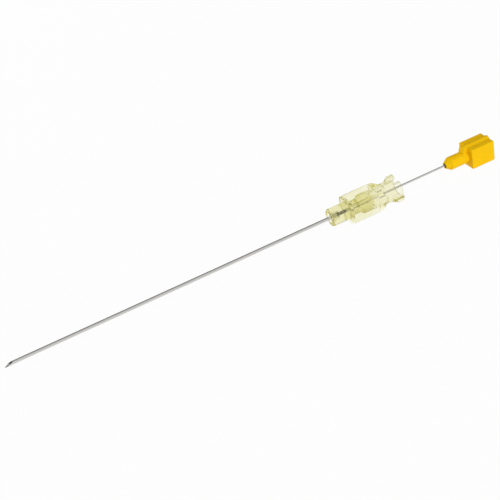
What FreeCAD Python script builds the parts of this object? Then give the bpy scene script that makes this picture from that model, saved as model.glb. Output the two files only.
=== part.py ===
import FreeCAD, Part
import os
import re
import Sketcher

# Spinal needle, 20 gauge by 90 mm, with its stylet partly drawn out of the hub.
# X runs from the needle's point to the stylet's cap, Z is up, and the origin is
# the centre of the hub's open rear end, the mouth of its luer socket.

SIZES = (
    ("cannula_diameter", "0.9", "outside of the steel tube"),
    ("cannula_bore", "0.6", "lumen of the steel tube"),
    ("exposed_length", "90", "from the point to the front of the hub"),
    ("bevel_length", "2.4", "main grind at the point"),
    ("lancet_reach", "1.1", "length of the two side grinds"),
    ("lancet_turn", "35", "degrees from the main grind to each side grind"),
    ("hub_length", "20.9", "whole moulding"),
    ("nose_diameter", "4.9", "round nose that holds the tube"),
    ("nose_length", "4.85", "from the front to the grip block"),
    ("nose_edge", "0.3", "rounding of the nose's front edge"),
    ("grip_side", "5.9", "square of the grip block and of the cap"),
    ("grip_corner", "0.3", "rounding of the square's long corners"),
    ("square_turn", "45", "degrees from a face of the square to its corner"),
    ("grip_length", "9.55", "full square, without the shoulder"),
    ("shoulder_length", "1.35", "turned down from the corners to the neck"),
    ("neck_diameter", "5.7", "outside of the luer socket"),
    ("rim_edge", "0.2", "rounding of the rear rim"),
    ("front_plate", "0.9", "square plate at the front of the grip"),
    ("rear_plate", "0.9", "square plate at the rear of the grip"),
    ("core_diameter", "3.9", "round core behind the front plate"),
    ("core_length", "3.6", "from the front plate to the barrel"),
    ("barrel_diameter", "5.3", "round barrel in front of the rear plate"),
    ("barrel_cone", "0.9", "length of the barrel's tapered front"),
    ("fin_thickness", "0.7", "fin that runs to each corner between the plates"),
    ("socket_mouth", "4.3", "female luer cone at the rear rim"),
    ("socket_taper", "0.06", "loss of diameter per length of the cone"),
    ("socket_depth", "8.5", "depth of the cone"),
    ("funnel_length", "1.3", "guides the stylet into the tube"),
    ("funnel_lip", "0.1", "ledge round the tube's rear end"),
    ("bond_gap", "0.02", "between the tube and its hole in the hub"),
    ("well_mouth", "2.6", "glue well in the nose, at the front"),
    ("well_floor", "1.4", "glue well at its floor"),
    ("well_depth", "2.2", "glue well from front to floor"),
    ("bond_recess", "0.45", "glue surface below the front, at its rim"),
    ("bond_climb", "0.3", "how far the glue climbs the tube from there"),
    ("lug_diameter", "7.6", "across the two luer lugs"),
    ("lug_length", "1.75", "full height of a lug"),
    ("lug_ramp", "1.3", "sloping front of a lug"),
    ("lug_span", "48", "degrees that a lug takes of the rim"),
    ("lug_turn", "45", "degrees from the top to the first lug"),
    ("key_gap", "0.1", "round the cap's key in the hub's notch"),
    ("wire_gap", "0.03", "between the stylet wire and the lumen"),
    ("wire_exposed", "15", "from the hub's rim to the cap's tip"),
    ("wire_anchor", "10", "wire moulded into the cap"),
    ("tip_face", "1.75", "flat front of the cap's stem"),
    ("tip_cone", "1.5", "length of the stem's tapered front"),
    ("stem_length", "6.9", "from the cap's tip to its block"),
    ("stem_gap", "0.14", "between the stem and the socket, seated"),
    ("block_length", "7.2", "square block of the cap"),
    ("block_edge", "0.25", "rounding round the block's two ends"),
    ("key_width", "2.0", "ridge on the cap, at its foot"),
    ("key_crest", "0.5", "ridge on the cap, at its crest"),
    ("key_height", "0.45", "ridge above the block"),
    ("key_length", "1.6", "ridge in front of the block, over the stem"),
    ("key_slope", "0.5", "how far the ridge's front leans back above the stem"),
    ("cut_margin", "0.5", "how far a cutting shape passes the surface"),
)

doc = FreeCAD.newDocument("spinal_needle")
sheet = doc.addObject("Spreadsheet::Sheet", "Sizes")
for row, (alias, number, note) in enumerate(SIZES, start=1):
    sheet.set(f"A{row}", alias)
    sheet.set(f"B{row}", number)
    sheet.set(f"C{row}", note)
    sheet.setAlias(f"B{row}", alias)
doc.recompute()

# Lengths that follow from the sizes
socket_floor = "(socket_mouth / 2 - socket_taper * socket_depth / 2)"
tube_hole = "(cannula_diameter / 2 + bond_gap)"
tube_rear = "(hub_length - socket_depth - funnel_length)"
bevel_slope = "(cannula_diameter / bevel_length)"
wire_diameter = "(cannula_bore - 2 * wire_gap)"
drawn_out = "(wire_exposed + stem_length)"
corner_radius = "(grip_side / 2 * sqrt(2) - grip_corner * (sqrt(2) - 1))"
stem_diameter = "(socket_mouth - socket_taper * stem_length - 2 * stem_gap)"


def formula(text):
    """The expression that a property or constraint takes for a length written in sizes."""
    return re.sub(r"[a-z]+(_[a-z]+)+", lambda name: "Sizes." + name.group(), text)


def value(text):
    return float(sheet.evalExpression(text))


def origin_part(body, role):
    return [item for item in body.Origin.OriginFeatures if item.Role == role][0]


def new_body(label, place_x):
    """An empty body whose own origin lies at place_x on the needle's axis."""
    body = doc.addObject("PartDesign::Body", label)
    body.Label = label
    body.setExpression("Placement.Base.x", formula(place_x))
    return body


def new_sketch(body, name, plane, turn=None, along=None):
    """A sketch on an origin plane, turned about its own x axis or moved along its normal."""
    sketch = body.newObject("Sketcher::SketchObject", name)
    sketch.AttachmentSupport = [(origin_part(body, plane), "")]
    sketch.MapMode = "FlatFace"
    if turn:
        axis = FreeCAD.Vector(1, 0, 0)
        sketch.AttachmentOffset = FreeCAD.Placement(FreeCAD.Vector(), FreeCAD.Rotation(axis, value(turn)))
        sketch.setExpression(".AttachmentOffset.Rotation.Angle", formula(turn))
    if along:
        sketch.setExpression(".AttachmentOffset.Base.z", formula(along))
    return sketch


def bind(sketch, kind, *where, size):
    """One driving dimension, tied to the sizes."""
    number = sketch.addConstraint(Sketcher.Constraint(kind, *where, value(size)))
    sketch.setExpression(f"Constraints[{number}]", formula(size))


def pin_point(sketch, line, end, along, across):
    """Hold one end of a line at a place given in sizes; 0 puts it on the sketch's axis."""
    for kind, size, axis in (("DistanceX", along, -2), ("DistanceY", across, -1)):
        if size == "0":
            sketch.addConstraint(Sketcher.Constraint("PointOnObject", line, end, axis))
        else:
            bind(sketch, kind, -1, 1, line, end, size=size)


def polygon(sketch, *points):
    """A closed outline of straight lines through points given in sizes."""
    corners = [FreeCAD.Vector(value(along), value(across), 0) for along, across in points]
    first = sketch.GeometryCount
    count = len(corners)
    for index in range(count):
        sketch.addGeometry(Part.LineSegment(corners[index], corners[(index + 1) % count]))
    for index in range(count):
        after = first + (index + 1) % count
        sketch.addConstraint(Sketcher.Constraint("Coincident", first + index, 2, after, 1))
    for index, (along, across) in enumerate(points):
        pin_point(sketch, first + index, 1, along, across)


def square(sketch, half):
    """A square of half the given side, centred on the sketch's origin."""
    low = f"-({half})"
    polygon(sketch, (low, low), (half, low), (half, half), (low, half))


def turned(body, kind, sketch, axis="H_Axis", span=None):
    """A Revolution or a Groove of the sketch, all round or over a span of degrees."""
    feature = body.newObject(f"PartDesign::{kind}", f"{sketch.Label}_{kind.lower()}")
    feature.Profile = sketch
    feature.ReferenceAxis = (sketch, [axis])
    feature.Angle = 360
    if span:
        feature.Midplane = True
        feature.setExpression("Angle", formula(span))
    sketch.Visibility = False
    return feature


def raised(body, sketch, length, reverse=False):
    """A Pad of the sketch."""
    feature = body.newObject("PartDesign::Pad", f"{sketch.Label}_pad")
    feature.Profile = sketch
    feature.Reversed = reverse
    feature.setExpression("Length", formula(length))
    return feature


def pocket(body, sketch, length=None, reverse=False, symmetric=False):
    """A Pocket of the sketch, through everything unless a length is given."""
    feature = body.newObject("PartDesign::Pocket", f"{sketch.Label}_pocket")
    feature.Profile = sketch
    feature.Reversed = reverse
    feature.SideType = "Symmetric" if symmetric else "One side"
    if length:
        feature.setExpression("Length", formula(length))
    else:
        feature.Type = "ThroughAll"
    return feature


def round_about(body, feature, copies):
    """Copies of a feature, evenly round the X axis."""
    pattern = body.newObject("PartDesign::PolarPattern", f"{feature.Label}_ring")
    pattern.Originals = [feature]
    pattern.Axis = (origin_part(body, "X_Axis"), [""])
    pattern.Angle = 360
    pattern.Occurrences = copies
    body.Tip = pattern
    return pattern


def fillet(body, feature, radius, chosen):
    """Round the edges of a feature that the test picks out."""
    doc.recompute()
    edges = feature.Shape.Edges
    names = [f"Edge{number}" for number, edge in enumerate(edges, start=1) if chosen(edge)]
    rounding = body.newObject("PartDesign::Fillet", f"{feature.Label}_rounded")
    rounding.Base = (feature, names)
    rounding.setExpression("Radius", formula(radius))
    return rounding


def lies_at(edge, along, radius=None):
    """Whether an edge lies in the plane X = along, at the radius if one is given."""
    near = 1e-4
    ends = [vertex.Point for vertex in edge.Vertexes] + [edge.valueAt(edge.FirstParameter)]
    flat = all(abs(point.x - along) < near for point in ends + [edge.CenterOfMass])
    if radius is None:
        return flat
    return flat and all(abs((point.y ** 2 + point.z ** 2) ** 0.5 - radius) < near for point in ends)


def runs_along(edge, height):
    """Whether an edge is straight, runs along X and stands at Z = height or -height."""
    start = edge.Vertexes[0].Point
    end = edge.Vertexes[-1].Point
    level = abs(abs(start.z) - height) < 1e-4
    straight = abs(start.y - end.y) + abs(start.z - end.z) < 1e-6
    return level and straight and abs(abs(start.y) - height) < 1e-4


def grind_point(body):
    """Three flats that sharpen a tube or a wire whose tip is at the body's origin.

    The main flat rises from the lowest point of the tube to its top. Each side
    flat leans to one side and leaves the main one at lancet_reach."""
    radius = "cannula_diameter / 2"
    main = new_sketch(body, f"{body.Label}_bevel", "XZ_Plane")
    top = f"{radius} + cut_margin * {bevel_slope}"
    polygon(
        main,
        ("-cut_margin", f"-{radius} - cut_margin * {bevel_slope}"),
        ("bevel_length + cut_margin", top),
        ("-cut_margin", top),
    )
    pocket(body, main, symmetric=True)
    lean = "sqrt(bevel_length / lancet_reach - 1) * sin(lancet_turn)"
    slope = f"{bevel_slope} * (cos(lancet_turn) + {lean})"
    foot = f"-{radius} * cos(lancet_turn)"
    for side, turn in (("left", "lancet_turn"), ("right", "-lancet_turn")):
        flat = new_sketch(body, f"{body.Label}_{side}_lancet", "XZ_Plane", turn=turn)
        crown = f"{foot} + bevel_length * {slope}"
        polygon(
            flat,
            ("-cut_margin", f"{foot} - cut_margin * {slope}"),
            ("bevel_length", crown),
            ("-cut_margin", crown),
        )
        pocket(body, flat, symmetric=True)


def make_cannula():
    """The steel tube, bonded into the nose, with a ground point."""
    body = new_body("cannula", "-hub_length - exposed_length")
    wall = new_sketch(body, "tube_wall", "XZ_Plane")
    end = f"exposed_length + {tube_rear}"
    polygon(
        wall,
        ("0", "cannula_bore / 2"),
        (end, "cannula_bore / 2"),
        (end, "cannula_diameter / 2"),
        ("0", "cannula_diameter / 2"),
    )
    turned(body, "Revolution", wall)
    grind_point(body)
    return body


def make_adhesive():
    """The ring of set glue that fills the well in the nose, up to a small meniscus."""
    body = new_body("adhesive", "-hub_length")
    plug = new_sketch(body, "glue_ring", "XZ_Plane")
    wall_lean = "(well_mouth - well_floor) / 2 / well_depth"
    polygon(
        plug,
        ("bond_recess - bond_climb", "cannula_diameter / 2"),
        ("bond_recess", "cannula_diameter / 2 + bond_climb"),
        ("bond_recess", f"well_mouth / 2 - bond_recess * {wall_lean}"),
        ("well_depth", "well_floor / 2"),
        ("well_depth", "cannula_diameter / 2"),
    )
    turned(body, "Revolution", plug)
    return body


def add_fins(body):
    """A fin to each corner of the square, which joins the two plates along the round middle."""
    fin = new_sketch(body, "fin_profile", "XZ_Plane", turn="square_turn")
    front = "nose_length + front_plate / 2"
    rear = "nose_length + grip_length - rear_plate / 2"
    polygon(
        fin,
        (front, "core_diameter / 4"),
        (rear, "core_diameter / 4"),
        (rear, corner_radius),
        (front, corner_radius),
    )
    plate = raised(body, fin, "fin_thickness")
    plate.SideType = "Symmetric"
    return round_about(body, plate, 4)


def add_lugs(body):
    """Two luer lugs on the rim, at opposite corners of the square."""
    lug = new_sketch(body, "lug_profile", "XZ_Plane", turn="-lug_turn")
    foot = "neck_diameter / 2 - rim_edge"
    polygon(
        lug,
        ("hub_length - lug_length - lug_ramp", foot),
        ("hub_length - lug_length - lug_ramp", "neck_diameter / 2"),
        ("hub_length - lug_length", "lug_diameter / 2"),
        ("hub_length", "lug_diameter / 2"),
        ("hub_length", foot),
    )
    return round_about(body, turned(body, "Revolution", lug, span="lug_span"), 2)


def trim_to_square(body):
    """Cut what stands out of the grip's square, so that fins and lugs end flush with it."""
    trim = new_sketch(body, "square_trim", "YZ_Plane", along="hub_length + cut_margin")
    square(trim, "grip_side / 2")
    square(trim, "lug_diameter")
    return pocket(body, trim, length="hub_length - nose_length + cut_margin * 2")


def make_hub():
    """One translucent moulding: nose, grip of two plates and four fins, neck and luer socket."""
    body = new_body("hub", "-hub_length")
    round_form = new_sketch(body, "round_form", "XZ_Plane")
    barrel_front = "nose_length + front_plate + core_length"
    rear_plate_front = "nose_length + grip_length - rear_plate"
    polygon(
        round_form,
        ("0", "0"),
        ("hub_length", "0"),
        ("hub_length", "neck_diameter / 2"),
        (f"{rear_plate_front} + rear_plate / 2", "neck_diameter / 2"),
        (f"{rear_plate_front} + rear_plate / 2", "barrel_diameter / 2"),
        (barrel_front, "barrel_diameter / 2"),
        (f"{barrel_front} - barrel_cone", "core_diameter / 2"),
        ("nose_length + front_plate / 2", "core_diameter / 2"),
        ("nose_length + front_plate / 2", "nose_diameter / 2"),
        ("0", "nose_diameter / 2"),
    )
    core = turned(body, "Revolution", round_form)
    core = fillet(body, core, "nose_edge", lambda edge: lies_at(edge, 0, value("nose_diameter / 2")))
    rim_radius = value("neck_diameter / 2")
    rear = value("hub_length")
    fillet(body, core, "rim_edge", lambda edge: lies_at(edge, rear, rim_radius))
    half = value("grip_side / 2")
    plates = (("front_square", "nose_length", "front_plate"),
              ("rear_square", rear_plate_front, "rear_plate + shoulder_length"))
    for name, along, thickness in plates:
        outline = new_sketch(body, name, "YZ_Plane", along=along)
        square(outline, "grip_side / 2")
        plate = raised(body, outline, thickness)
        fillet(body, plate, "grip_corner", lambda edge: runs_along(edge, half))
    shoulder = new_sketch(body, "shoulder_cone", "XZ_Plane")
    fall = f"({corner_radius} - neck_diameter / 2) / shoulder_length"
    polygon(
        shoulder,
        ("nose_length + grip_length - cut_margin", f"{corner_radius} + cut_margin * {fall}"),
        (
            "nose_length + grip_length + shoulder_length + cut_margin",
            f"neck_diameter / 2 - cut_margin * {fall}",
        ),
        (
            "nose_length + grip_length + shoulder_length + cut_margin",
            f"{corner_radius} + cut_margin * {fall}",
        ),
    )
    turned(body, "Groove", shoulder)
    add_fins(body)
    add_lugs(body)
    trim_to_square(body)
    passage = new_sketch(body, "passage", "XZ_Plane")
    polygon(
        passage,
        ("0", "0"),
        ("0", "well_mouth / 2"),
        ("well_depth", "well_floor / 2"),
        ("well_depth", tube_hole),
        (tube_rear, tube_hole),
        (tube_rear, f"{tube_hole} + funnel_lip"),
        ("hub_length - socket_depth", socket_floor),
        ("hub_length", "socket_mouth / 2"),
        ("hub_length", "0"),
    )
    turned(body, "Groove", passage)
    notch = new_sketch(body, "key_notch", "XY_Plane")
    notch_floor = "hub_length - key_length - key_gap"
    notch_half = "key_width / 2 + key_gap"
    polygon(
        notch,
        (notch_floor, f"-({notch_half})"),
        ("hub_length + cut_margin", f"-({notch_half})"),
        ("hub_length + cut_margin", notch_half),
        (notch_floor, notch_half),
    )
    pocket(body, notch, reverse=True)
    return body


def make_stylet_wire():
    """The solid wire that closes the lumen, ground to the same point as the tube."""
    body = new_body("stylet_wire", f"{drawn_out} - hub_length - exposed_length")
    wire = new_sketch(body, "wire_half", "XZ_Plane")
    end = "hub_length + exposed_length - stem_length + wire_anchor"
    polygon(
        wire,
        ("0", "0"),
        (end, "0"),
        (end, f"{wire_diameter} / 2"),
        ("0", f"{wire_diameter} / 2"),
    )
    turned(body, "Revolution", wire)
    grind_point(body)
    return body


def make_stylet_cap():
    """One opaque moulding: a plug stem, a square block and a key ridge along its top."""
    body = new_body("stylet_cap", "wire_exposed")
    cap_length = "stem_length + block_length"
    section = new_sketch(body, "block_square", "YZ_Plane", along="stem_length")
    square(section, "grip_side / 2")
    block = raised(body, section, "block_length")
    half = value("grip_side / 2")
    block = fillet(body, block, "grip_corner", lambda edge: runs_along(edge, half))
    ends = (value("stem_length"), value(cap_length))
    fillet(body, block, "block_edge", lambda edge: any(lies_at(edge, end) for end in ends))
    stem = new_sketch(body, "stem_half", "XZ_Plane")
    polygon(
        stem,
        ("0", "0"),
        ("stem_length + block_length / 2", "0"),
        ("stem_length + block_length / 2", f"{stem_diameter} / 2"),
        ("tip_cone", f"{stem_diameter} / 2"),
        ("0", "tip_face / 2"),
    )
    turned(body, "Revolution", stem)
    key = new_sketch(body, "key_section", "YZ_Plane", along="stem_length - key_length")
    shelf = "grip_side / 2"
    crest = "grip_side / 2 + key_height"
    polygon(
        key,
        ("-key_width / 2", "tip_face / 2"),
        ("key_width / 2", "tip_face / 2"),
        ("key_width / 2", shelf),
        ("key_crest / 2", crest),
        ("-key_crest / 2", crest),
        ("-key_width / 2", shelf),
    )
    raised(body, key, "key_length + block_length")
    lean = new_sketch(body, "key_front", "XZ_Plane")
    foot = f"{stem_diameter} / 2"
    rise = f"(({crest} - {foot}) / key_slope)"
    polygon(
        lean,
        ("stem_length - key_length - cut_margin", foot),
        ("stem_length - key_length", foot),
        ("stem_length - key_length + key_slope + cut_margin", f"{crest} + cut_margin * {rise}"),
        ("stem_length - key_length - cut_margin", f"{crest} + cut_margin * {rise}"),
    )
    pocket(body, lean, symmetric=True)
    hole = new_sketch(body, "wire_hole", "XZ_Plane")
    polygon(
        hole,
        ("0", "0"),
        ("wire_anchor", "0"),
        ("wire_anchor", f"{wire_diameter} / 2"),
        ("0", f"{wire_diameter} / 2"),
    )
    turned(body, "Groove", hole)
    return body


PIECES = (make_cannula(), make_adhesive(), make_hub(), make_stylet_wire(), make_stylet_cap())
doc.recompute()
for item in doc.Objects:
    if "Invalid" in item.State or "Error" in item.State:
        raise RuntimeError(f"{item.Label} did not build: {item.State}")
for piece in PIECES:
    if piece.Shape.isNull() or not piece.Shape.isValid() or len(piece.Shape.Solids) != 1:
        raise RuntimeError(f"{piece.Label} is not one sound solid")

os.makedirs("parts", exist_ok=True)
for piece in PIECES:
    piece.Shape.exportStep(f"parts/{piece.Label}.step")
    box = piece.Shape.BoundBox
    print(f"{piece.Label}: {piece.Shape.Volume:.2f} mm3, X {box.XMin:.2f} to {box.XMax:.2f}")
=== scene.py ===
# %% [markdown]
# A spinal needle lies on a white table, with its stylet drawn partly out of the hub.
# Everything with a size was modelled before this script starts: the steel tube with its
# ground point, the ring of glue, the clear hub, the stylet's wire and its yellow cap.
# This lesson gives each of them its finish, then sets the table, the light and the camera.

# %% Load the model
import bpy
from mathutils import Matrix, Vector


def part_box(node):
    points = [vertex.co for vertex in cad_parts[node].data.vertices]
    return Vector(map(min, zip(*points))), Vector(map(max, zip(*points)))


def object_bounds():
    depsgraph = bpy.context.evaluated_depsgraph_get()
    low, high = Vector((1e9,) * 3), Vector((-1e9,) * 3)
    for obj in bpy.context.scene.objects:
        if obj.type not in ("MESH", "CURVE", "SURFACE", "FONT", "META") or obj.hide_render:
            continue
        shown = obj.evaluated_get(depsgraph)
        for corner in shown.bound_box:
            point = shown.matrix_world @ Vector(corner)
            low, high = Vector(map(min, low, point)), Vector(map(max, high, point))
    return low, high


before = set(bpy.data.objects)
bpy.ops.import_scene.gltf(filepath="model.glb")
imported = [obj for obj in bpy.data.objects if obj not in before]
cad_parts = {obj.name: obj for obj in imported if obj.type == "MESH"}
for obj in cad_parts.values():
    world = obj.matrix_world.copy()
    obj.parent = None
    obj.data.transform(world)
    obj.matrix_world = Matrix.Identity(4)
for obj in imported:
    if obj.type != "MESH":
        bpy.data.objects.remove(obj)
cad_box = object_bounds()
MM = 0.001
print("pieces:", ", ".join(sorted(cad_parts)))
print("overall size in mm:", [round(side / MM, 2) for side in cad_box[1] - cad_box[0]])

# %% [markdown]
# Many patterns below follow the needle's own features, such as its point or the front of
# its hub. They could be typed in as numbers, but a later change of the model would leave
# them behind, so they are read from the boxes of the loaded pieces.

# %% Places along the needle
tube_point_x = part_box("cannula")[0].x
wire_point_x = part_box("stylet_wire")[0].x
hub_front_x, hub_rear_x = (corner.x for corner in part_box("hub"))
cap_front_x, cap_rear_x = (corner.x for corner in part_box("stylet_cap"))
tube_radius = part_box("cannula")[1].z
wire_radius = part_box("stylet_wire")[1].z
table_z = cad_box[0].z
print(f"point at {tube_point_x / MM:.1f} mm")
print(f"hub from {hub_front_x / MM:.1f} to {hub_rear_x / MM:.1f} mm")
print(f"tube radius {tube_radius / MM:.2f} mm, table at {table_z / MM:.1f} mm")

# %% [markdown]
# A finish in Blender is a tree of nodes. Wiring each sum and product by hand makes long
# scripts that are hard to read. A small class that wraps an output socket and overloads
# the arithmetic signs lets a mask be written as the formula that it is. The sign | joins
# two masks: the result is the larger of the two.

# %% Shader maths as expressions
class Wave:
    """One output socket of a node, with arithmetic that adds Math or Vector Math nodes."""

    def __init__(self, finish, socket):
        self.finish = finish
        self.socket = socket

    def combine(self, operation, first, second):
        kind = "ShaderNodeVectorMath" if self.socket.type == "VECTOR" else "ShaderNodeMath"
        return self.finish.node(kind, {"operation": operation}, {0: first, 1: second})

    def __add__(self, other):
        return self.combine("ADD", self, other)

    def __radd__(self, other):
        return self.combine("ADD", other, self)

    def __sub__(self, other):
        return self.combine("SUBTRACT", self, other)

    def __rsub__(self, other):
        return self.combine("SUBTRACT", other, self)

    def __mul__(self, other):
        return self.combine("MULTIPLY", self, other)

    def __rmul__(self, other):
        return self.combine("MULTIPLY", other, self)

    def __or__(self, other):
        return self.combine("MAXIMUM", self, other)

    def __ror__(self, other):
        return self.combine("MAXIMUM", other, self)

    def __gt__(self, other):
        return self.combine("GREATER_THAN", self, other)

    def __lt__(self, other):
        return self.combine("LESS_THAN", self, other)


print("sockets can be added, subtracted, multiplied, joined and compared")

# %% [markdown]
# Every other node is made by one method. It takes the node's type, its settings, which
# have to be set first because they can change the sockets, and then what goes into the
# sockets: a number, a colour, a vector or the output of another node. The Mix node has
# sockets for numbers, vectors and colours under the same names, so its colour sockets are
# told apart by their places.

# %% One method for every node
MIX_FACTOR, MIX_FIRST, MIX_SECOND, MIX_RESULT = 0, 6, 7, 2


class Finish:
    """A material or a world, and the nodes in its tree."""

    def __init__(self, owner):
        owner.use_nodes = True
        self.owner = owner
        self.tree = owner.node_tree
        self.tree.nodes.clear()

    def node(self, kind, settings=None, inputs=None, output=0):
        made = self.tree.nodes.new(kind)
        for name, setting in (settings or {}).items():
            if name == "stops":
                self.set_stops(made.color_ramp, setting)
            else:
                setattr(made, name, setting)
        for name, given in (inputs or {}).items():
            if isinstance(given, Wave):
                self.tree.links.new(given.socket, made.inputs[name])
            else:
                made.inputs[name].default_value = given
        return Wave(self, made.outputs[output]) if made.outputs else made

    def set_stops(self, ramp, stops):
        """Places of a colour ramp, each with its grey level."""
        while len(ramp.elements) > len(stops):
            ramp.elements.remove(ramp.elements[-1])
        while len(ramp.elements) < len(stops):
            ramp.elements.new(1.0)
        for element, (place, level) in zip(ramp.elements, stops):
            element.position = place
            element.color = (level, level, level, 1.0)

    def mix(self, factor, first, second):
        """A colour between two others."""
        inputs = {MIX_FACTOR: factor, MIX_FIRST: first, MIX_SECOND: second}
        return self.node("ShaderNodeMix", {"data_type": "RGBA"}, inputs, MIX_RESULT)

    def material(self, surface, volume=None):
        """The finished material, with a surface and perhaps an inside."""
        ends = {"Surface": surface}
        if volume:
            ends["Volume"] = volume
        self.node("ShaderNodeOutputMaterial", None, ends)
        return self.owner


def new_finish(name):
    return Finish(bpy.data.materials.new(name))


print("finishes are ready to be made")

# %% [markdown]
# The patterns are laid out in the object's own coordinates, in metres. They could come
# from a UV map, but a tube this thin would need a map 100 times longer than it is wide.
# Stretching the coordinates along the needle turns round noise into long streaks.

# %% Coordinates and stretched noise
def place_on(finish):
    return finish.node("ShaderNodeTexCoord", output="Object")


def axis_of(finish, where, axis):
    return finish.node("ShaderNodeSeparateXYZ", inputs={"Vector": where}, output=axis)


def off_axis(finish, where):
    """Distance from the needle's axis."""
    across = where * (0.0, 1.0, 1.0)
    return finish.node("ShaderNodeVectorMath", {"operation": "LENGTH"}, {0: across}, "Value")


def streaks(finish, where, stretch, detail=2.0):
    """Noise between 0 and 1, with stretch giving its changes per metre on each axis."""
    inputs = {"Vector": where * stretch, "Scale": 1.0, "Detail": detail}
    return finish.node("ShaderNodeTexNoise", None, inputs)


print("noise helpers take changes per metre along X, Y and Z")

# %% [markdown]
# Lines and grain a few thousandths of a millimetre deep are too fine to model. A bump
# tilts the surface for the light alone. A mould also leaves every edge slightly round. A
# bevel on the mesh would change the shape that was modelled, so the edges are rounded in
# the same way, by a normal that blends the faces on both sides.

# %% Relief for the light alone
EDGE_SAMPLES = 6


def bump(finish, height, distance, strength, normal=None):
    inputs = {"Height": height, "Distance": distance, "Strength": strength}
    if normal:
        inputs["Normal"] = normal
    return finish.node("ShaderNodeBump", None, inputs)


def soft_edges(finish, radius):
    return finish.node("ShaderNodeBevel", {"samples": EDGE_SAMPLES}, {"Radius": radius})


print(f"edges are rounded with {EDGE_SAMPLES} samples")

# %% [markdown]
# The tube's point is ground on a wheel. A short zone of it in the nose is blasted with grit,
# so that the glue holds, which leaves it dull, and it is painted darker too: painted shade
# of the tube inside the nose. The bore is painted dark behind the point: painted shade
# inside the tube. These could be three more materials on chosen faces, but a mask needs no
# choice of faces. The distance from the axis tells the ground faces and the bore from the
# outside of the tube, and the place along the needle tells where each zone starts and ends.

# %% Zones of the steel
GROUND_WITHIN = 0.975
GROUND_REACH = 3.0 * MM
BORE_MARGIN = 0.04 * MM
# Painted shade in the bore starts this far behind the point and fades in over this length.
BORE_SHADE_FROM = 1.1 * MM
BORE_SHADE_FADE = 0.7 * MM
BLASTED_X = (hub_front_x + 1.8 * MM, hub_front_x + 4.6 * MM)
NOWHERE_X = (cap_rear_x, cap_rear_x)


def steel_zones(finish, where, radius, bore_radius, point_x, blasted_x):
    """Masks of the ground faces, of the bore's painted shade and of the blasted, shaded zone."""
    along = axis_of(finish, where, "X")
    distance = off_axis(finish, where)
    ground = (distance < radius * GROUND_WITHIN) * (along < point_x + GROUND_REACH)
    # The bore is painted darker the deeper it lies behind the point: painted shade inside the
    # tube.
    depth = (along - (point_x + BORE_SHADE_FROM)) * (1.0 / BORE_SHADE_FADE)
    bore_shade = (distance < bore_radius) * depth
    # The blasted zone is dull from the grit and is also painted darker as painted shade.
    blasted_shaded = (along > blasted_x[0]) * (along < blasted_x[1])
    return ground, bore_shade, blasted_shaded


print(f"blasted from {BLASTED_X[0] / MM:.1f} to {BLASTED_X[1] / MM:.1f} mm")

# %% [markdown]
# Drawing the tube through a die leaves fine lines along it, polishing leaves soft clouds,
# and the wheel leaves lines across the ground faces. All are noise, stretched one way or
# the other. The numbers are changes per metre along X, Y and Z.

# %% Lines on the steel
DRAWN_LINES = (120.0, 14000.0, 14000.0)
WHEEL_LINES = (30000.0, 900.0, 900.0)
CLOUDS = (160.0, 900.0, 900.0)
LINE_DEPTH = 0.0012 * MM
LINE_STRENGTH = 0.35


def steel_relief(finish, where, ground):
    """The drawn lines as a pattern, and the normal with the lines of each zone."""
    drawn = streaks(finish, where, DRAWN_LINES)
    wheel = streaks(finish, where, WHEEL_LINES)
    lines = drawn + (wheel - drawn) * ground
    return drawn, bump(finish, lines, LINE_DEPTH, LINE_STRENGTH)


print(f"lines {LINE_DEPTH / MM:.4f} mm deep")

# %% [markdown]
# Polished steel has one colour that hardly varies, and it is mostly the roughness that tells
# the zones apart; the blasted zone and the bore are also painted darker, as painted shade.
# The wire is made of the same steel, without a bore and without a blasted zone, so one
# function makes both.

# %% Steel, drawn and ground
STEEL = (0.66, 0.65, 0.63, 1.0)
STEEL_DULL = (0.60, 0.59, 0.57, 1.0)
# Painted shade: the blasted zone is darker for the shade on the tube inside the nose, besides
# being dull from the grit.
STEEL_BLASTED_SHADED = (0.32, 0.31, 0.29, 1.0)
# Painted shade inside the bore.
STEEL_BORE_SHADE = (0.05, 0.05, 0.05, 1.0)
POLISHED, CLOUDED, ROUGH_GROUND, ROUGH_BLASTED = 0.20, 0.12, 0.06, 0.25


def make_steel(name, radius, bore_radius, point_x, blasted_x):
    finish = new_finish(name)
    where = place_on(finish)
    zones = steel_zones(finish, where, radius, bore_radius, point_x, blasted_x)
    ground, bore_shade, blasted_shaded = zones
    drawn, normal = steel_relief(finish, where, ground)
    clouds = streaks(finish, where, CLOUDS)
    polished = finish.mix(drawn * 0.5 + clouds * 0.5, STEEL_DULL, STEEL)
    outside = finish.mix(blasted_shaded, polished, STEEL_BLASTED_SHADED)
    inputs = {
        "Base Color": finish.mix(bore_shade, outside, STEEL_BORE_SHADE),
        "Metallic": 1.0,
        "Roughness": POLISHED + clouds * CLOUDED + ground * ROUGH_GROUND + blasted_shaded * ROUGH_BLASTED,
        "Normal": normal,
    }
    return finish.material(finish.node("ShaderNodeBsdfPrincipled", None, inputs))


bore_radius = wire_radius + BORE_MARGIN
tube_steel = make_steel("drawn_tube_steel", tube_radius, bore_radius, tube_point_x, BLASTED_X)
wire_steel = make_steel("drawn_wire_steel", wire_radius, 0.0, wire_point_x, NOWHERE_X)
print("steel made for the tube and the wire")

# %% [markdown]
# The hub is moulded in a clear plastic with a little yellow dye, the colour code for this
# size of needle. Dye acts through the depth: a thin fin looks nearly white and a thick
# middle looks yellow. A pale surface colour can't do that, so the tint is an absorption
# inside glass-like plastic. A duller skin is also a little more yellow. The index is set
# lower than that of a real plastic, about 1.5, because the tube and the wire then stay in
# sight through it.

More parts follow.
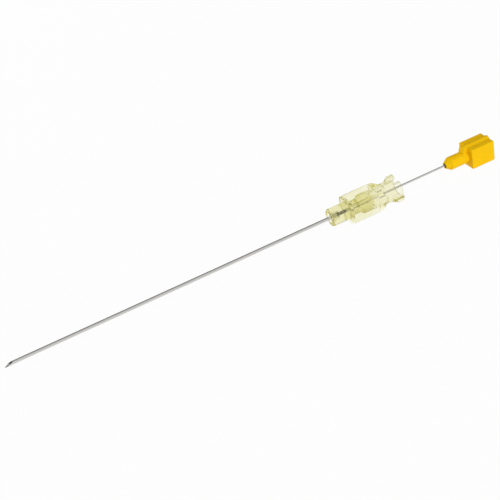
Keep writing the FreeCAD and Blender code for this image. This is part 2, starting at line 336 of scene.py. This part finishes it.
# %% Clear dyed plastic
CLEAR_SKIN = (1.0, 1.0, 0.98, 1.0)
DULL_SKIN = (0.92, 0.90, 0.64, 1.0)
CLEAR_HAZE = 0.10
DULLED_PER_HAZE = 4.0
PLASTIC_IOR = 1.33
FLOW = (260.0, 900.0, 900.0)
FLOW_DETAIL = 3.0
FLOW_HAZE = 0.04
SKIN = (5200.0, 5200.0, 5200.0)
SKIN_DEPTH = 0.012 * MM
SKIN_STRENGTH = 0.5
PLASTIC_EDGE = 0.15 * MM


def make_clear_plastic(finish, dye, dye_per_metre, skin_haze):
    where = place_on(finish)
    flow = streaks(finish, where, FLOW, FLOW_DETAIL)
    relief = streaks(finish, where, SKIN) * 0.5 + flow
    edges = soft_edges(finish, PLASTIC_EDGE)
    haze = skin_haze + flow * FLOW_HAZE
    dulled = (haze - CLEAR_HAZE) * DULLED_PER_HAZE
    inputs = {
        "Base Color": finish.mix(dulled, CLEAR_SKIN, DULL_SKIN),
        "Roughness": haze,
        "IOR": PLASTIC_IOR,
        "Transmission Weight": 1.0,
        "Normal": bump(finish, relief, SKIN_DEPTH, SKIN_STRENGTH, edges),
    }
    surface = finish.node("ShaderNodeBsdfPrincipled", None, inputs)
    inside = {"Color": dye, "Density": dye_per_metre}
    return finish.material(surface, finish.node("ShaderNodeVolumeAbsorption", None, inside))


print(f"clear plastic with an index of {PLASTIC_IOR}")

# %% [markdown]
# The mould of the hub is polished at the nose and at the neck, where one looks for the
# liquid, and has a duller skin on the grip. The place along the hub, from 0 at its front
# to 1 at its rear, is looked up in a ramp that gives the haze.

# %% Haze along the hub
NOSE_HAZE = ((0.20, 0.11),)
GRIP_HAZE = ((0.28, 0.28), (0.52, 0.28))
NECK_HAZE = ((0.66, 0.16), (0.80, 0.13), (0.90, 0.15))
HUB_DYE = (0.80, 0.75, 0.02, 1.0)
HUB_DYE_PER_METRE = 140.0


def haze_along_hub(finish):
    x = axis_of(finish, place_on(finish), "X")
    along = (x - hub_front_x) * (1.0 / (hub_rear_x - hub_front_x))
    stops = NOSE_HAZE + GRIP_HAZE + NECK_HAZE
    return finish.node("ShaderNodeValToRGB", {"stops": stops}, {0: along})


hub_finish = new_finish("pale_yellow_clear_plastic")
hub_haze = haze_along_hub(hub_finish)
hub_plastic = make_clear_plastic(hub_finish, HUB_DYE, HUB_DYE_PER_METRE, hub_haze)
print(f"hub plastic made, dye takes {HUB_DYE_PER_METRE:.0f} per metre")

# %% [markdown]
# The glue in the nose is a clear resin that set with a slightly wavy face. It has the same
# make-up as the plastic with another dye, and one haze all over.

# %% Set glue
GLUE_DYE = (0.75, 0.7, 0.25, 1.0)
GLUE_DYE_PER_METRE = 160.0
GLUE_HAZE = 0.20
glue = make_clear_plastic(new_finish("set_glue"), GLUE_DYE, GLUE_DYE_PER_METRE, GLUE_HAZE)
print(f"glue made, dye takes {GLUE_DYE_PER_METRE:.0f} per metre")

# %% [markdown]
# The cap is moulded in an opaque golden plastic. Its pigment isn't quite even, and its
# skin has the fine grain of the mould, which breaks up the highlights. Both are patterns
# of noise: a wide one for the pigment and a fine one for the grain. At the tip of its stem
# a ring around the wire is painted dark: painted shade, as of a crevice around the wire.

# %% Colours and patterns of the cap
CAP_COLOUR = (0.92, 0.56, 0.003, 1.0)
CAP_DEEP = (0.87, 0.51, 0.002, 1.0)
# Painted shade at the tip of the stem, in a ring around the wire.
TIP_SHADE = (0.16, 0.13, 0.002, 1.0)
TIP_SHADE_DEPTH = 0.15 * MM
TIP_SHADE_WIDTH = 0.45 * MM
PIGMENT = (220.0, 420.0, 420.0)
PIGMENT_DETAIL = 3.0
GRAIN = (9000.0, 9000.0, 9000.0)
GRAIN_DEPTH = 0.008 * MM
GRAIN_STRENGTH = 0.5
CAP_EDGE = 0.18 * MM
print(f"dark ring {TIP_SHADE_WIDTH / MM:.2f} mm wide, grain {GRAIN_DEPTH / MM:.3f} mm deep")

# %% [markdown]
# The cap has a satin skin. A rough surface alone still shows a pale veil at flat angles,
# so the strength of its reflection is set low as well, and the colour stays deep.

# %% Golden cap plastic
CAP_ROUGHNESS = 0.42
PIGMENT_ROUGHNESS = 0.10
CAP_REFLECTION = 0.08


def make_cap_plastic():
    finish = new_finish("golden_cap_plastic")
    where = place_on(finish)
    pigment = streaks(finish, where, PIGMENT, PIGMENT_DETAIL)
    grain = streaks(finish, where, GRAIN)
    at_tip = axis_of(finish, where, "X") < cap_front_x + TIP_SHADE_DEPTH
    # Painted shade: the stem's tip face is painted dark in a ring around the wire.
    shade_ring = (off_axis(finish, where) < wire_radius + TIP_SHADE_WIDTH) * at_tip
    golden = finish.mix(pigment, CAP_DEEP, CAP_COLOUR)
    edges = soft_edges(finish, CAP_EDGE)
    inputs = {
        "Base Color": finish.mix(shade_ring, golden, TIP_SHADE),
        "Roughness": CAP_ROUGHNESS + pigment * PIGMENT_ROUGHNESS,
        "Specular IOR Level": CAP_REFLECTION,
        "Normal": bump(finish, grain, GRAIN_DEPTH, GRAIN_STRENGTH, edges),
    }
    return finish.material(finish.node("ShaderNodeBsdfPrincipled", None, inputs))


cap_plastic = make_cap_plastic()
print("cap plastic made")

# %% [markdown]
# The finishes now go onto the pieces. The meshes stay as they were modelled.

# %% Put the finishes on
WEAR = {
    "cannula": (tube_steel, "steel"),
    "stylet_wire": (wire_steel, "steel"),
    "adhesive": (glue, "glue"),
    "hub": (hub_plastic, "hub_plastic"),
    "stylet_cap": (cap_plastic, "cap_plastic"),
}
for node_name, (material, slot_name) in WEAR.items():
    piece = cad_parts[node_name]
    piece.data.materials[0] = material
    print(node_name, "wears", material.name)

# %% [markdown]
# The needle lies on a white table that reaches out of the picture. A white surface lit at
# a plain level comes out pale grey, and more light would wash out the needle. So what the
# camera, a reflection or a ray through the clear plastic sees of the table is mostly a
# white of its own, and the rest is the lit surface, which keeps the shadow.

# %% Finish of the table
WHITE = (1.0, 1.0, 1.0, 1.0)
TABLE_GREY = (0.9, 0.9, 0.9, 1.0)
TABLE_GLOW = 0.95


def ray_is(finish, kind):
    """1 for rays of this kind, 0 for all others."""
    return finish.node("ShaderNodeLightPath", output=f"Is {kind} Ray")


def make_table_finish():
    finish = new_finish("white_table")
    seen = ray_is(finish, "Camera") | ray_is(finish, "Glossy") | ray_is(finish, "Transmission")
    lit = finish.node("ShaderNodeBsdfDiffuse", None, {"Color": TABLE_GREY})
    white = finish.node("ShaderNodeEmission", None, {"Color": WHITE, "Strength": 1.0})
    shown = finish.node("ShaderNodeMixShader", None, {0: seen * TABLE_GLOW, 1: lit, 2: white})
    return finish.material(shown)


table_finish = make_table_finish()
print(f"table seen {TABLE_GLOW:.0%} as its own white")

# %% [markdown]
# The table is one flat face under the needle, at the height of the lowest piece. It is
# stage and no part of the object.

# %% White table
TABLE_HALF = 1.5
TABLE_SIGNS = ((-1, -1), (1, -1), (1, 1), (-1, 1))
corners = [(sx * TABLE_HALF, sy * TABLE_HALF, table_z) for sx, sy in TABLE_SIGNS]
table_mesh = bpy.data.meshes.new("table")
table_mesh.from_pydata(corners, [], [(0, 1, 2, 3)])
table_mesh.materials.append(table_finish)
table = bpy.data.objects.new("table", table_mesh)
bpy.context.scene.collection.objects.link(table)
print(f"table at {table_z / MM:.2f} mm")

# %% [markdown]
# The room is bright on the side of the camera and dim behind the needle. That is what
# gives round steel its dark upper edge, and it leaves the top of the cap darker than its
# near side. A world that fades from front to back does it with no lamp to place. Rays
# that come out of the clear plastic find a paler room, so that the hub stays light.

# %% The room's light
ROOM_FRONT = 0.85
ROOM_BACK = 0.22
ROOM_FADE = ((0.25, ROOM_FRONT), (0.7, ROOM_BACK))
ROOM_THROUGH = 0.75


def make_room(world):
    finish = Finish(world)
    direction = finish.node("ShaderNodeTexCoord", output="Generated")
    toward_back = axis_of(finish, direction, "Y") * 0.5 + 0.5
    fade = finish.node("ShaderNodeValToRGB", {"stops": ROOM_FADE}, {0: toward_back})
    white = ray_is(finish, "Transmission") * ROOM_THROUGH | ray_is(finish, "Camera")
    shown = {"Color": finish.mix(white, fade, WHITE), "Strength": 1.0}
    background = finish.node("ShaderNodeBackground", None, shown)
    finish.node("ShaderNodeOutputWorld", None, {"Surface": background})


scene = bpy.context.scene
scene.world = scene.world or bpy.data.worlds.new("room")
make_room(scene.world)
print(f"room light {ROOM_FRONT} in front, {ROOM_BACK} behind")

# %% [markdown]
# Light bounces many times inside the clear hub before it leaves, so more bounces are
# allowed than usual, or else the thick corners would turn black. The colours are shown
# as they are, without the film-like curve, which would turn the white table grey.

# %% Bounces and plain colours
BOUNCES = 24
for limit in ("max_bounces", "glossy_bounces", "transmission_bounces"):
    setattr(scene.cycles, limit, BOUNCES)
scene.view_settings.view_transform = "Standard"
print(f"up to {BOUNCES} bounces")

# %% [markdown]
# One large soft lamp stands in front and a little above, so that the near side of the
# cap is its brightest face. Another one, low behind the needle on the side of its point,
# keeps the far side from going brown. Reflections and the clear plastic leave both out,
# or else they would draw hard white lines along the tube and through the hub.

# %% Soft lamps
LAMP_HEIGHT_SHARE = 0.6


def add_soft_lamp(name, position, width, watts):
    data = bpy.data.lights.new(name, "AREA")
    data.shape = "RECTANGLE"
    data.size = width
    data.size_y = width * LAMP_HEIGHT_SHARE
    data.energy = watts
    lamp = bpy.data.objects.new(name, data)
    lamp.location = position
    lamp.rotation_mode = "QUATERNION"
    lamp.rotation_quaternion = (-Vector(position)).to_track_quat("-Z", "Y")
    lamp.visible_glossy = lamp.visible_transmission = False
    scene.collection.objects.link(lamp)
    print(f"{name}: {watts} W")


add_soft_lamp("front_lamp", position=(0.12, -0.78, 0.33), width=0.5, watts=2.7)
add_soft_lamp("back_lamp", position=(-0.45, 0.62, 0.20), width=0.4, watts=3.0)

# %% [markdown]
# The photograph was taken from above and to the left with a longer lens, and the camera
# was turned so that the needle runs up the picture.

# %% Camera
EYE_MM = (-120.16, -214.09, 161.84)
AIM_MM = (-42.26, 5.63, -2.95)
ROLL_UP = (0.39786, 0.45602, 0.79609)
LENS_MM = 79.37
SENSOR_MM = 36.0
CLIP_START = 0.01

eye = Vector(EYE_MM) * MM
aim = Vector(AIM_MM) * MM
ahead = (aim - eye).normalized()
right = ahead.cross(Vector(ROLL_UP)).normalized()
turn = Matrix((right, right.cross(ahead), -ahead)).transposed()
camera_data = bpy.data.cameras.new("camera")
camera_data.lens = LENS_MM
camera_data.sensor_width = SENSOR_MM
camera_data.clip_start = CLIP_START
camera = bpy.data.objects.new("camera", camera_data)
camera.matrix_world = Matrix.Translation(eye) @ turn.to_4x4()
scene.collection.objects.link(camera)
scene.camera = camera
print(f"camera {(aim - eye).length / MM:.0f} mm from its aim")

# %% [markdown]
# The dressed model has to keep the size of the one that was loaded.

# %% Finish
print("scene set")
